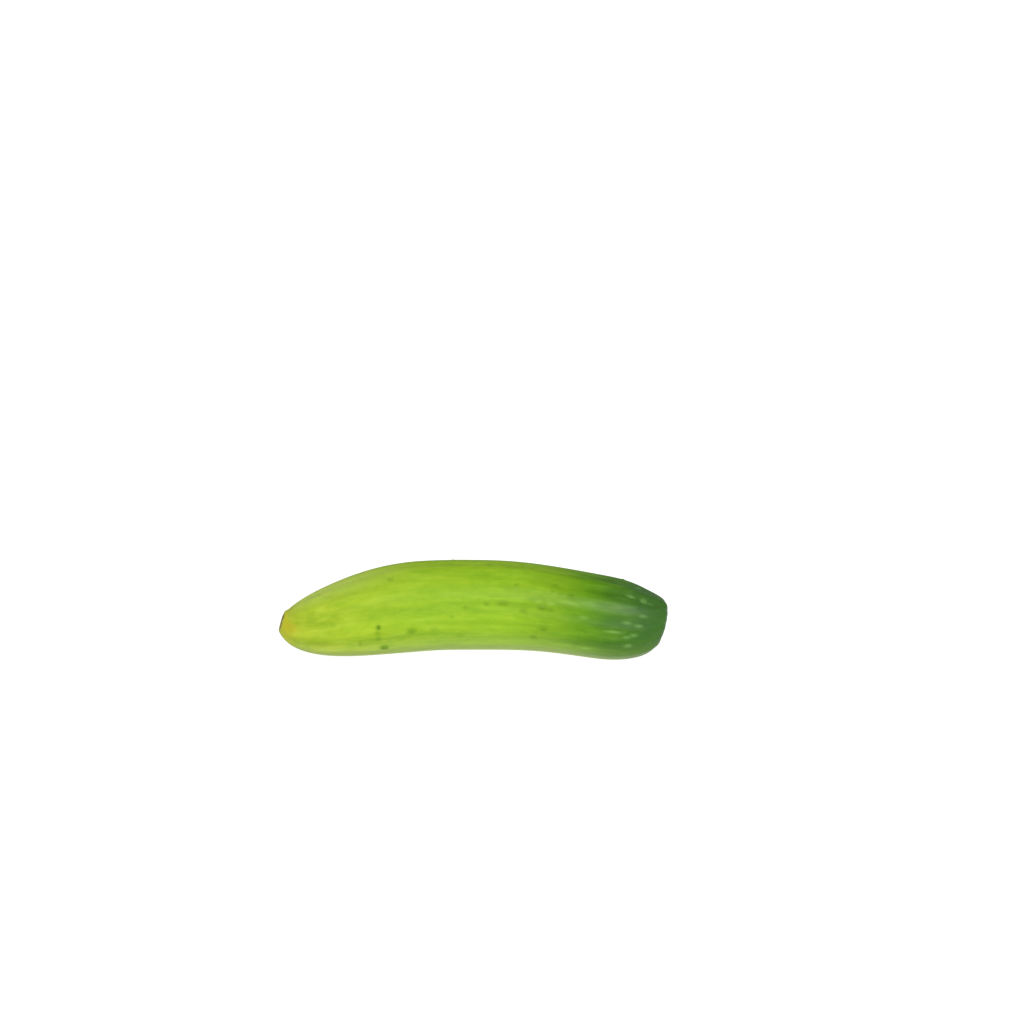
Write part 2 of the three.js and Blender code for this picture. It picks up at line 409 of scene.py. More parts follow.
@dataclass(frozen=True)
class FruitForm:
    """The grown form of the fruit, in millimetres, by the same formulas as the part's source."""

    length: float = 115.0
    girth: float = 26.7
    thickest_at: float = -6.0
    blossom_end_length: float = 43.8
    blossom_end_fullness: float = 2.09
    stem_end_length: float = 20.3
    stem_end_fullness: float = 2.3
    stem_thinning: float = 0.107
    stem_thinning_run: float = 49.3
    stem_thinning_power: float = 1.28
    blossom_bow: Bow = Bow(8.28, 1.345, 0.968)
    stem_bow: Bow = Bow(6.2, 1.22, 0.918)
    roll: float = math.radians(15)
    pitch: float = math.radians(0.4)
    flat_depth: float = 0.5
    lobes: Ribs = Ribs(3, 0.17, 0.0, 0.0)
    ribs: Ribs = Ribs(10, 0.13, 0.9, 0.5)
    fine_ribs: Ribs = Ribs(17, 0.05, 0.7, -0.4)
    ribs_grow: Triple = (0.5, 0.2, 0.9)
    swell: Triple = (0.12, 5.1, 11.3)
    relief_fade_radius: float = 10.0
    belly_smooth: Span = (math.cos(math.radians(46)), math.cos(math.radians(20)))
    blossom_lean: Lean = Lean(math.radians(19.5), 2.07, 2.6, 5.7)
    stem_lean: Lean = Lean(math.radians(16), 0.0, 5.5, 10.3)
    # Half the step over which the axis' direction is taken, the slices that the resting height is sought in,
    # and the halvings that find a place from its radius
    probe: float = 0.05
    slice_step: float = 0.5
    halvings: int = 40

    @property
    def half(self) -> float:
        """Half the length."""
        return self.length / 2

    def body_radius(self, along: np.ndarray) -> np.ndarray:
        """Works out the smooth body's radius.

        Args:
            along: Places along the length.

        Returns:
            The radius at each.
        """
        from_blossom = np.clip((along + self.half) / self.blossom_end_length, 0, 1)
        from_stem = np.clip((self.half - along) / self.stem_end_length, 0, 1)
        blossom_cap = (1 - (1 - from_blossom) ** self.blossom_end_fullness) ** (1 / self.blossom_end_fullness)
        stem_cap = (1 - (1 - from_stem) ** self.stem_end_fullness) ** (1 / self.stem_end_fullness)
        past_thickest = np.maximum(along - self.thickest_at, 0) / self.stem_thinning_run
        thinning = 1 - self.stem_thinning * past_thickest**self.stem_thinning_power
        return (self.girth / 2) * blossom_cap * stem_cap * thinning

    def along_of_radius(self, radius: float, end: End) -> float:
        """Finds where the body has a given radius, on the cap at one end.

        Args:
            radius: The radius to find.
            end: The end whose cap it is on.

        Returns:
            The place along the length.
        """
        near, far = end * self.half, self.thickest_at
        for _ in range(self.halvings):
            middle = (near + far) / 2
            if float(self.body_radius(np.array(middle))) < radius:
                near = middle
            else:
                far = middle
        return (near + far) / 2

    def bow_at(self, along: np.ndarray) -> np.ndarray:
        """How far the axis lies off the straight line."""
        share = np.abs(along) / self.half
        return np.where(along < 0, self.blossom_bow.at(share), self.stem_bow.at(share))

    def resting_height(self) -> float:
        """Finds how high the axis lies.

        Returns:
            Its height over the lowest point of the belly, less the flat's depth.
        """
        along = np.arange(-self.half, self.half + self.slice_step / 2, self.slice_step)
        drop = self.bow_at(along) * math.sin(self.roll) + along * math.tan(self.pitch)
        return max(0.0, float((self.body_radius(along) + drop).max())) - self.flat_depth

    def axis(self, along: np.ndarray) -> np.ndarray:
        """Bends the axis.

        Args:
            along: Places along the length.

        Returns:
            The axis' points there, in the last dimension.
        """
        bow = self.bow_at(along)
        height = self.resting_height() - bow * math.sin(self.roll) - along * math.tan(self.pitch)
        return np.stack([along, -bow * math.cos(self.roll), height], axis=-1)

    def relief(self, along: np.ndarray, angle: np.ndarray, radius: np.ndarray) -> np.ndarray:
        """How far the skin stands out of the smooth body: lobes, ribs and slow swellings.

        Args:
            along: Places along the length.
            angle: Angles round from the top.
            radius: Radius of the smooth body there.

        Returns:
            The relief in millimetres.
        """
        share = along / self.half
        by, start, end = self.ribs_grow
        grown = 1 + by * smoothstep(share, start, end)
        ribs = (self.ribs.at(angle, share) + self.fine_ribs.at(angle, share)) * grown
        height, long_waves, short_waves = self.swell
        waves = np.sin(long_waves * share + 2 * np.sin(angle)) + np.sin(short_waves * share) / 2
        off_the_caps = smoothstep(radius, 0, self.relief_fade_radius)
        off_the_belly = 1 - smoothstep(-np.cos(angle), *self.belly_smooth)
        return (self.lobes.at(angle, share) + ribs + height * waves) * off_the_caps * off_the_belly

    def leaning(self, along: np.ndarray, smooth: np.ndarray) -> tuple[np.ndarray, np.ndarray]:
        """How the scars' lean is felt at places of the smooth body.

        Args:
            along: Places along the length.
            smooth: Radius of the smooth body there.

        Returns:
            The slope and the lift.
        """
        slope, lift = np.zeros_like(smooth), np.zeros_like(smooth)
        for lean, here in ((self.blossom_lean, along < 0), (self.stem_lean, along >= 0)):
            felt = np.where(here, 1 - smoothstep(smooth, lean.start, lean.end), 0)
            slope = slope + math.tan(lean.tilt) * felt
            lift = lift + lean.lift * felt
        return slope, lift

    def grown(
        self, along: np.ndarray, angle: np.ndarray, smooth: np.ndarray, radius: np.ndarray
    ) -> np.ndarray:
        """Takes points of the straight form to their places on the bent fruit.

        Args:
            along: Places along the length.
            angle: Angles round from the top.
            smooth: Radius of the smooth body there.
            radius: Distance from the axis, with all relief.

        Returns:
            The points in millimetres, in the last dimension.
        """
        forward = self.axis(along + self.probe) - self.axis(along - self.probe)
        forward /= np.linalg.norm(forward, axis=-1, keepdims=True)
        up = np.array([0.0, 0.0, 1.0]) - forward * forward[..., 2:3]
        up /= np.linalg.norm(up, axis=-1, keepdims=True)
        side = np.cross(forward, up)
        slope, lift = self.leaning(along, smooth)
        upwards = radius * np.cos(angle)
        sideways = radius * np.sin(angle)
        raised = up * (upwards + lift)[..., None] + side * sideways[..., None]
        return self.axis(along) + raised + forward * (slope * upwards)[..., None]


@dataclass(frozen=True)
class Mark:
    """A mark on the skin: place along, degrees from the top, half its length and width, and strength."""

    along: float
    degrees: float
    long: float
    wide: float
    strength: float = 1.0

    def nearness(self, along: np.ndarray, angle: np.ndarray, radius: np.ndarray) -> np.ndarray:
        """How near each point of the skin is to the mark.

        Args:
            along: Places along the length.
            angle: Angles round from the top.
            radius: Distances from the axis.

        Returns:
            1 at its middle, 0 at its edge and beyond.
        """
        middle = math.radians(self.degrees)
        turn = np.arctan2(np.sin(angle - middle), np.cos(angle - middle))
        return np.clip(1 - np.hypot((along - self.along) / self.long, turn * radius / self.wide), 0, 1)

    def scaled(self, size: float, strength: float = 1.0) -> "Mark":
        """The same mark, so many times as large and as strong."""
        return replace(self, long=self.long * size, wide=self.wide * size, strength=self.strength * strength)


def strongest(marks: Sequence[Mark], places: tuple[np.ndarray, ...], full_at: float) -> np.ndarray:
    """The strength of the strongest mark at each point of the skin.

    Args:
        marks: The marks.
        places: Places along the length, angles round from the top and distances from the axis.
        full_at: The nearness at which a mark has its full strength.

    Returns:
        The strengths, 0 where no mark reaches.
    """
    felt = [mark.strength * smoothstep(mark.nearness(*places), 0, full_at) for mark in marks]
    return np.maximum.reduce(felt)


@dataclass(frozen=True)
class Warts:
    """Low domes where the young fruit had its spines, at the places that the part's source gives them."""

    radius: float = 0.75
    height: float = 0.2
    stretch: float = 1.3
    # How round a wart's top is, as the share of its nearness at which it has risen
    full_at: float = 0.9
    scattered: int = 44
    # The least size of a scattered wart, and how much more it can have
    size: Span = (0.6, 0.5)
    seed: int = 41
    # Factor, step and range of the row of numbers that follows from the seed
    row: tuple[int, int, int] = (1664525, 1013904223, 4294967296)
    reach: float = 0.84
    free_belly: float = math.radians(58)
    placed: tuple[Triple, ...] = (
        (-36.1, 94, 0.8),
        (-30.2, 70, 1.1),
        (-29.3, 105, 1.3),
        (-20.1, 81, 0.9),
        (-12.7, 80, 0.7),
        (-4.4, 92, 0.8),
        (8.6, 47, 1.1),
        (15.1, 55, 0.8),
        (18.9, 92, 0.9),
        (20.7, 49, 1.1),
        (21.9, 78, 0.9),
        (23.6, 15, 0.8),
        (28.7, 28, 1.0),
        (32.8, 95, 0.8),
        (42.0, 70, 1.1),
        (45.8, 90, 0.9),
        (49.1, 11, 0.9),
    )

    def marks(self, half: float) -> list[Mark]:
        """All warts: the placed ones, and seeded ones that keep off the belly.

        Args:
            half: Half the fruit's length.

        Returns:
            The warts as marks.
        """
        state = self.seed
        factor, step, whole = self.row
        least, more = self.size

        def draw() -> float:
            """The next number of the seeded row, from 0 to 1."""
            nonlocal state
            state = (state * factor + step) % whole
            return state / whole

        places = list(self.placed)
        for _ in range(self.scattered):
            along = (-self.reach + 2 * self.reach * draw()) * half
            angle = -math.pi + 2 * math.pi * draw()
            size = least + more * draw()
            if abs(angle) < math.pi - self.free_belly:
                places.append((along, math.degrees(angle), size))
        wide = self.radius
        long = wide * self.stretch
        return [Mark(along, turn, long * size, wide * size, size) for along, turn, size in places]


# Waves of a ragged line: how many go round, how far its seed turns them and their height, and the sum's scale
RAGGED_WAVES: tuple[Triple, ...] = ((3, 1.0, 1.0), (5, 2.3, 0.7), (9, 3.1, 0.5), (16, 4.7, 0.35))
RAGGED_SCALE = 1.8


def uneven(angle: np.ndarray, line: RaggedLine) -> np.ndarray:
    """A ragged line round a scar, from about -1 to 1.

    Args:
        angle: Angles round from the top.
        line: Which line it is.

    Returns:
        How far the line strays at each angle.
    """
    waves = [high * np.sin(count * angle + turn * line.value) for count, turn, high in RAGGED_WAVES]
    return sum(waves) / RAGGED_SCALE


@dataclass(frozen=True)
class Scar:
    """What both scars share: a profile of rings, and cork with a ragged edge."""

    end: End
    # Pairs of radius and how far the ring stands out of the tip
    rings: tuple[Span, ...]
    # Radius of the cork's edge, how far it strays, its line, and over how much inside and outside it fades
    edge: float
    ragged: float
    edge_line: RaggedLine
    fade: Span

    @property
    def outer(self) -> float:
        """Radius of the outermost ring."""
        return self.rings[-1][0]

    def cork(self, radius: np.ndarray, angle: np.ndarray) -> np.ndarray:
        """How far each point is cork, from 0 to 1."""
        edge = self.edge + self.ragged * uneven(angle, self.edge_line)
        return 1 - smoothstep(radius, edge - self.fade[0], edge + self.fade[1])


@dataclass(frozen=True)
class BlossomScar(Scar):
    """Where the flower dried off: a small cork disc with a ragged rim, wrinkles and the stub of the style."""

    end: End = End.BLOSSOM
    rings: tuple[Span, ...] = (
        (0.0, -1.21),
        (0.6, -1.25),
        (1.2, -1.21),
        (1.8, -1.09),
        (2.2, -0.9),
        (2.5, -0.85),
        (2.85, -0.9),
    )
    edge: float = 2.5
    ragged: float = 0.3
    edge_line: RaggedLine = RaggedLine.BLOSSOM_EDGE
    fade: Span = (0.35, 0.1)
    # The wrinkles: how many, how deep, the radii between which they lie, and how they wander
    wrinkles: int = 11
    wrinkle_depth: float = 0.09
    wrinkle_zone: Zone = (0.5, 1.3, 1.7, 2.6)
    wander: float = 0.12
    wander_waves: Span = (3, 2)
    unevenness: float = 0.4
    # The rim: how far inside the edge, its width and its height
    rim: Triple = (0.15, 0.25, 0.10)
    # The stub of the style: its radius, its height, and the share of its radius that is flat
    stub: Triple = (0.5, 0.35, 0.3)
    # How pale the cork is where it has no relief, and how much paler a millimetre above that
    tone: Span = (0.35, 2.5)

    def relief(self, radius: np.ndarray, angle: np.ndarray) -> np.ndarray:
        """How far its surface stands out of the smooth rings.

        Args:
            radius: Distances from the axis.
            angle: Angles round from the top.

        Returns:
            The relief in millimetres.
        """
        outwards, round_about = self.wander_waves
        turn = angle + self.wander * np.sin(outwards * radius + round_about * angle)
        strong = 1 - self.unevenness + self.unevenness * np.sin(3 * angle + 4 * radius)
        folded = np.cos(self.wrinkles * turn + 2 * uneven(angle, RaggedLine.BLOSSOM_WRINKLES)) - 1
        folds = self.wrinkle_depth * strong * folded * within(radius, self.wrinkle_zone)
        inside, rim_width, rim_height = self.rim
        rim = bulge(radius, self.edge - inside, rim_width) * (uneven(angle, RaggedLine.BLOSSOM_RIM) - 1)
        wide, high, flat = self.stub
        return folds + rim_height * rim + high * (1 - smoothstep(radius, flat * wide, wide))

    def pale(self, radius: np.ndarray, angle: np.ndarray) -> np.ndarray:
        """How pale the cork is, from 0 to 1."""
        level, paler = self.tone
        return np.clip(level + paler * self.relief(radius, angle), 0, 1)


@dataclass(frozen=True)
class StemScar(Scar):
    """Where the stalk came off: a callus ring, a groove, and the ends of the veins on a fibrous middle."""

    end: End = End.STEM
    rings: tuple[Span, ...] = (
        (0.0, -2.85),
        (0.8, -2.7),
        (1.5, -2.65),
        (1.9, -2.75),
        (2.15, -3.15),
        (2.6, -3.2),
        (3.1, -2.9),
        (3.7, -2.6),
        (4.7, -2.45),
        (5.6, -2.48),
        (6.3, -2.62),
    )
    edge: float = 3.3
    ragged: float = 0.3
    edge_line: RaggedLine = RaggedLine.STEM_EDGE
    fade: Span = (0.2, 0.3)
    # The veins' ends: how many, the radius of their ring and how unevenly they lie on it
    veins: int = 9
    vein_ring: float = 1.3
    vein_wander: float = 0.12
    # Half the width of each vein's end, the share of it that is flat, and its height
    vein_size: Triple = (0.3, 0.3, 0.18)
    # The fibrous middle: the radii over which it ends, and its height
    middle: Span = (1.7, 2.1)
    fibre_height: float = 0.05
    # The callus: its radius, its width and its height
    callus: Triple = (3.2, 0.4, 0.12)
    # The folds of skin round it, as ribs of height 1, how deep and sharp they are, and the radii they lie at
    folds: Ribs = Ribs(10, 1.0, 0.9, 0.0)
    fold_depth: float = 0.16
    fold_sharpness: int = 3
    fold_zone: Zone = (3.4, 4.2, 5.2, 6.3)
    # How pale the callus is, how much that changes round it, and the radii over which it starts
    callus_tone: Span = (0.7, 0.3)
    callus_start: Span = (2.5, 2.9)
    # How pale the middle is, how much paler its veins are, and the radii over which it ends
    middle_tone: Span = (0.35, 0.65)
    middle_stop: Span = (1.8, 2.1)

    def vein_ends(self, radius: np.ndarray, angle: np.ndarray) -> np.ndarray:
        """Finds the ends of the veins.

        Args:
            radius: Distances from the axis.
            angle: Angles round from the top.

        Returns:
            How near each point is to one, from 0 to 1.
        """
        step = 2 * math.pi / self.veins
        off = (angle + self.vein_wander * np.sin(4 * angle)) / step
        across = (off - np.round(off)) * step * radius
        wide, flat, _ = self.vein_size
        return 1 - smoothstep(np.hypot(across, radius - self.vein_ring), flat * wide, wide)

    def relief(self, radius: np.ndarray, angle: np.ndarray) -> np.ndarray:
        """How far its surface stands out of the smooth rings.

        Args:
            radius: Distances from the axis.
            angle: Angles round from the top.

        Returns:
            The relief in millimetres.
        """
        fibres = np.sin(9 * radius + 6 * np.sin(3 * angle)) * np.cos(7 * angle + 5 * radius)
        middle = self.fibre_height * fibres + self.vein_size[2] * self.vein_ends(radius, angle)
        middle = middle * (1 - smoothstep(radius, *self.middle))
        place, wide, high = self.callus
        callus = high * bulge(radius, place, wide) * uneven(angle, RaggedLine.CALLUS_HEIGHT)
        crease = np.clip(self.folds.at(angle, 0.0), 0, 1) ** self.fold_sharpness
        return middle + callus - self.fold_depth * crease * within(radius, self.fold_zone)

    def pale(self, radius: np.ndarray, angle: np.ndarray) -> np.ndarray:
        """Works out the cork's tone.

        Args:
            radius: Distances from the axis.
            angle: Angles round from the top.

        Returns:
            How pale the cork is, from 0 to 1.
        """
        level, change = self.callus_tone
        callus = level + change * uneven(angle, RaggedLine.CALLUS_TONE)
        level, paler = self.middle_tone
        middle = level + paler * self.vein_ends(radius, angle)
        middle = middle * (1 - smoothstep(radius, *self.middle_stop))
        return np.clip(callus * smoothstep(radius, *self.callus_start) + middle, 0, 1)


@dataclass(frozen=True)
class Grain:
    """Noise over the skin, drawn out along it where its squeeze is small.

    Its scale counts the blobs in a centimetre, detail and roughness are those of its finer layers, its mask
    rises between its levels, and its shift sets it apart from other noise.
    """

    squeeze: float
    scale: float
    detail: float
    roughness: float
    levels: Span = (0.0, 1.0)
    shift: Triple = (0.0, 0.0, 0.0)

    def noise(self, place: Vector) -> Value:
        """The noise as it is, from 0 to 1."""
        drawn = place.moved(self.shift).stretched((self.squeeze, 1.0, 1.0))
        return drawn.noise(self.scale, self.detail, self.roughness)

    def swing(self, place: Vector) -> Value:
        """The noise as it swings round 0."""
        return self.noise(place) - NOISE_MIDDLE

    def mask(self, place: Vector) -> Value:
        """The noise as a mask from 0 to 1."""
        return self.noise(place).rising(*self.levels)


@dataclass(frozen=True)
class Shade:
    """A grain that deepens the green: the colour that multiplies it, and how strongly."""

    grain: Grain
    tint: Paint
    strength: float


@dataclass(frozen=True)
class Tinge:
    """A soft patch of colour: how uneven its edge is, the levels between which it rises, and its strength."""

    colour: Paint
    unevenness: float
    levels: Span
    strength: float

    def over(self, skin: Colour, mask: Value, noise: Value) -> Colour:
        """Lays it over the skin.

        Args:
            skin: The skin's colour so far.
            mask: Where the patch is.
            noise: Noise round 0 for its edge.

        Returns:
            The skin with the patch.
        """
        share = (mask + noise * self.unevenness).rising(*self.levels)
        return skin.towards(self.colour, share * self.strength)


@dataclass(frozen=True)
class SkinMap:
    """What the skin's material reads at each point.

    That is the place along, from -1 to 1 and from 0 to 1, the place on the straight fruit in centimetres, and
    how far the point is belly, back and off the stem end's cap.
    """

    sheet: MaterialSheet
    along: Value
    share: Value
    place: Vector
    belly: Value
    back: Value
    off_the_cap: Value


@dataclass(frozen=True)
class SkinFinish:
    """The waxy skin: lime at the blossom end, dark green at the stem end, streaked along its length."""

    # Colours along the length, from the blossom end at 0 to the stem end at 1
    ripening: Stops = (
        (0.04, display(166, 183, 48)),
        (0.18, display(160, 185, 42)),
        (0.34, display(145, 178, 36)),
        (0.58, display(138, 174, 31)),
        (0.70, display(122, 159, 24)),
        (0.79, display(93, 138, 12)),
        (0.87, display(67, 112, 17)),
        (0.95, display(54, 96, 30)),
    )
    # The green comes down the fruit in fingers and clouds, and is shifted darker on its back and paler on its
    # belly
    fingers: Grain = Grain(0.10, 1.9, 3.0, 0.6)
    clouds: Grain = Grain(1.0, 0.6, 3.0, 0.55, shift=(7.0, 3.0, 1.0))
    fingers_reach: float = 0.20
    clouds_reach: float = 0.08
    # The darker back and top are partly painted shade, and the paler belly is partly painted floor light
    back_ripening_and_shade: float = 0.03
    belly_pallor_and_floor_light: float = -0.04
    # Stripes that fan out from the blossom end, and where they fade
    stripe_tint: Paint = (0.80, 0.84, 0.66, 1.0)
    stripe_strength: float = 0.9
    stripe_fade: Span = (0.1, -0.75)
    # Soft bands, blotches, mottling and streaks along the rest of the fruit
    bands: Shade = Shade(Grain(0.07, 3.0, 2.0, 0.5, (0.34, 0.62)), (0.82, 0.88, 0.70, 1.0), 0.85)
    blotches: Shade = Shade(
        Grain(0.5, 2.8, 3.0, 0.6, (0.45, 0.72), (1.0, 9.0, 6.0)), (0.79, 0.88, 0.68, 1.0), 0.55
    )
    mottle: Shade = Shade(Grain(0.7, 5.4, 2.6, 0.55, (0.38, 0.68)), (0.80, 0.89, 0.72, 1.0), 0.46)
    streaks: Shade = Shade(
        Grain(0.13, 6.0, 1.8, 0.5, (0.42, 0.80), (3.0, 5.0, 9.0)), (0.64, 0.79, 0.56, 1.0), 0.26
    )
    pale_streaks: Grain = Grain(0.14, 6.5, 1.6, 0.5, (0.44, 0.80))
    pale_streak_strength: float = 0.28
    pale_streak: Stops = (
        (0.10, display(176, 197, 66)),
        (0.60, display(160, 196, 52)),
        (0.80, display(120, 165, 42)),
        (0.92, display(86, 132, 50)),
    )
    # Where the stem end's cap is full and where it starts, and what is left on it of pale and dark streaks
    cap: Span = (0.92, 0.74)
    streaks_on_cap: Span = (0.05, 0.08)
    # The pale belly: partly the fruit's own ground spot, partly painted light bounced up from the floor
    belly: Paint = display(156, 170, 108)
    belly_spot_and_floor_light_strength: float = 0.70
    # The pale bloom on the back of the blossom end
    bloom: Paint = display(190, 206, 116)
    bloom_strength: float = 0.45
    bloom_fade: Span = (-0.20, -0.75)
    # Pale flecks, partly painted sheen, and dark freckles, and how ragged and how full each is
    fleck: Stops = (
        (0.60, display(160, 194, 74)),
        (0.80, display(132, 174, 78)),
        (0.92, display(112, 156, 84)),
    )
    freckle: Paint = display(82, 122, 8)
    ragged: Grain = Grain(1.0, 18.0, 2.0, 0.6)
    fleck_and_sheen_raggedness: Span = (1.2, 0.75)
    freckle_raggedness: Span = (1.8, 0.95)
    # The yellow tinge of the blossom end and its orange blush
    soft: Grain = Grain(1.0, 5.0, 2.0, 0.6)
    tip: Tinge = Tinge(display(168, 172, 42), 0.5, (0.1, 1.0), 0.8)
    blush: Tinge = Tinge(display(176, 158, 30), 0.9, (0.1, 1.1), 0.45)
    # The cork of both scars, and the cream edge of skin round it
    cork_grain: Grain = Grain(1.0, 34.0, 3.0, 0.7)
    cork_dark: Paint = display(116, 104, 62)
    cork_pale: Paint = display(180, 170, 118)
    cork_mottle: float = 0.9
    crust_raggedness: float = 0.4
    crust_levels: Span = (0.35, 0.75)
    cream: Paint = display(190, 188, 112)
    cream_levels: Span = (0.0, 0.35)
    cream_strength: float = 0.7
    # Fine relief that is too small for the mesh: pores, ridges and cork, with the height of each
    pores: Grain = Grain(0.5, 34.0, 3.0, 0.6)
    ridges: Grain = Grain(0.05, 16.0, 3.0, 0.6)
    relief_heights: Triple = (0.35, 0.65, 1.5)
    relief_depth: float = 0.12
    relief_strength: float = 0.5
    # Roughness at the dull blossom end and at the glossier stem end, where it changes, and what adds to it
    roughness: Span = (0.66, 0.42)
    gloss_rise: Span = (-0.9, 0.8)
    patches: Grain = Grain(1.0, 4.0, 3.0, 0.6)
    patch_roughness: float = 0.14
    crust_roughness: float = 0.3
    shaded_roughness: float = 0.28
    specular: float = 0.15
    # The wax on the upper side of the stem end: its strength, where it rises, and its roughness
    wax: float = 0.30
    wax_rise: Span = (0.50, 0.85)
    wax_roughness: float = 0.42
    # How much light goes through the flesh, how far each colour gets, and the depth in millimetres
    flesh: float = 0.12
    flesh_reach: Triple = (0.6, 1.0, 0.25)
    flesh_depth: float = 1.5

    def green(self, on: SkinMap) -> Colour:
        """Works out the ripening green with its stripes, bands, blotches and streaks.

        Args:
            on: The skin's map.

        Returns:
            The green.
        """
        ripeness = on.share + self.fingers.swing(on.place) * self.fingers_reach
        ripeness = ripeness + self.clouds.swing(on.place) * self.clouds_reach
        # Darker on the back, partly painted shade, and paler on the belly, partly painted floor light
        ripeness = ripeness + on.back * self.back_ripening_and_shade + on.belly * self.belly_pallor_and_floor_light
        skin = on.sheet.ramp(ripeness, self.ripening)
        between = (1 - on.sheet.number("stripe")) * on.along.rising(*self.stripe_fade)
        skin = skin.tinted(self.stripe_tint, between * self.stripe_strength)
        lines = (1 - self.bands.grain.mask(on.place)) * on.off_the_cap
        skin = skin.tinted(self.bands.tint, lines * self.bands.strength)
        for shade in (self.blotches, self.mottle):
            skin = skin.tinted(shade.tint, shade.grain.mask(on.place) * shade.strength)
        pale_left, dark_left = self.streaks_on_cap
        strength = on.off_the_cap * self.pale_streak_strength + pale_left
        pale = on.sheet.ramp(on.share, self.pale_streak)
        skin = skin.towards(pale, self.pale_streaks.mask(on.place) * strength)
        strength = on.off_the_cap * self.streaks.strength + dark_left
        skin = skin.tinted(self.streaks.tint, self.streaks.grain.mask(on.place) * strength)
        # The pale belly, partly the fruit's own ground spot and partly painted floor light
        skin = skin.towards(self.belly, on.belly * self.belly_spot_and_floor_light_strength)
        return skin.towards(self.bloom, on.back * on.along.rising(*self.bloom_fade) * self.bloom_strength)

    def spotted(self, on: SkinMap, skin: Colour) -> Colour:
        """Adds flecks, partly painted sheen, freckles and the tinges of the blossom end.

        Args:
            on: The skin's map.
            skin: The green.

        Returns:
            The skin's colour, but for the cork.
        """
        ragged = self.ragged.swing(on.place)
        swing, full = self.fleck_and_sheen_raggedness
        # Pale flecks, partly real and partly painted sheen along the highlight band
        fleck = on.sheet.ramp(on.share, self.fleck)
        skin = skin.towards(fleck, on.sheet.number("fleck") * (ragged * swing + full))
        swing, full = self.freckle_raggedness
        skin = skin.towards(self.freckle, on.sheet.number("freckle") * (ragged * swing + full))
        soft = self.soft.swing(on.place)
        skin = self.tip.over(skin, on.sheet.number("tip"), soft)
        return self.blush.over(skin, on.sheet.number("blush"), soft)

    def material(self) -> bpy.types.Material:
        """Builds the skin's nodes.

        Returns:
            The material.
        """
        sheet = MaterialSheet("cucumber_skin")
        along, place = sheet.number("along"), sheet.place("straight")
        belly, back = sheet.number("belly"), sheet.number("back")
        off_the_cap = along.rising(*self.cap)
        on = SkinMap(sheet, along, along * 0.5 + 0.5, place, belly, back, off_the_cap)
        skin = self.spotted(on, self.green(on))

        grain = self.cork_grain.swing(place)
        cork = sheet.number("cork")
        skin = skin.towards(self.cream, cork.rising(*self.cream_levels) * self.cream_strength)
        tone = (sheet.number("cork_pale") + grain * self.cork_mottle).rising(0.0, 1.0)
        crust = (cork + grain * self.crust_raggedness).rising(*self.crust_levels)
        skin = skin.towards(sheet.ramp(tone, ((0.0, self.cork_dark), (1.0, self.cork_pale))), crust)

        pore_height, ridge_height, cork_height = self.relief_heights
        relief = self.pores.noise(place) * pore_height + self.ridges.noise(place) * ridge_height * off_the_cap
        relief = relief + crust * grain * cork_height
        dull, glossy = self.roughness
        roughness = along.rising(*self.gloss_rise) * (glossy - dull) + dull + crust * self.crust_roughness
        roughness = roughness + self.patches.swing(place) * self.patch_roughness
        roughness = roughness + (back + belly) * self.shaded_roughness
        waxed = along.rising(*self.wax_rise) * (1 - back) * sheet.number("top")
        return sheet.surface(
            {
                "Base Color": skin,
                "Roughness": roughness,
                "Normal": sheet.bump(relief, self.relief_depth * MM, self.relief_strength),
                "Specular IOR Level": self.specular,
                "Coat Weight": waxed * self.wax,
                "Coat Roughness": self.wax_roughness,
                "Subsurface Weight": self.flesh,
                "Subsurface Radius": self.flesh_reach,
                "Subsurface Scale": self.flesh_depth * MM,
            }
        )


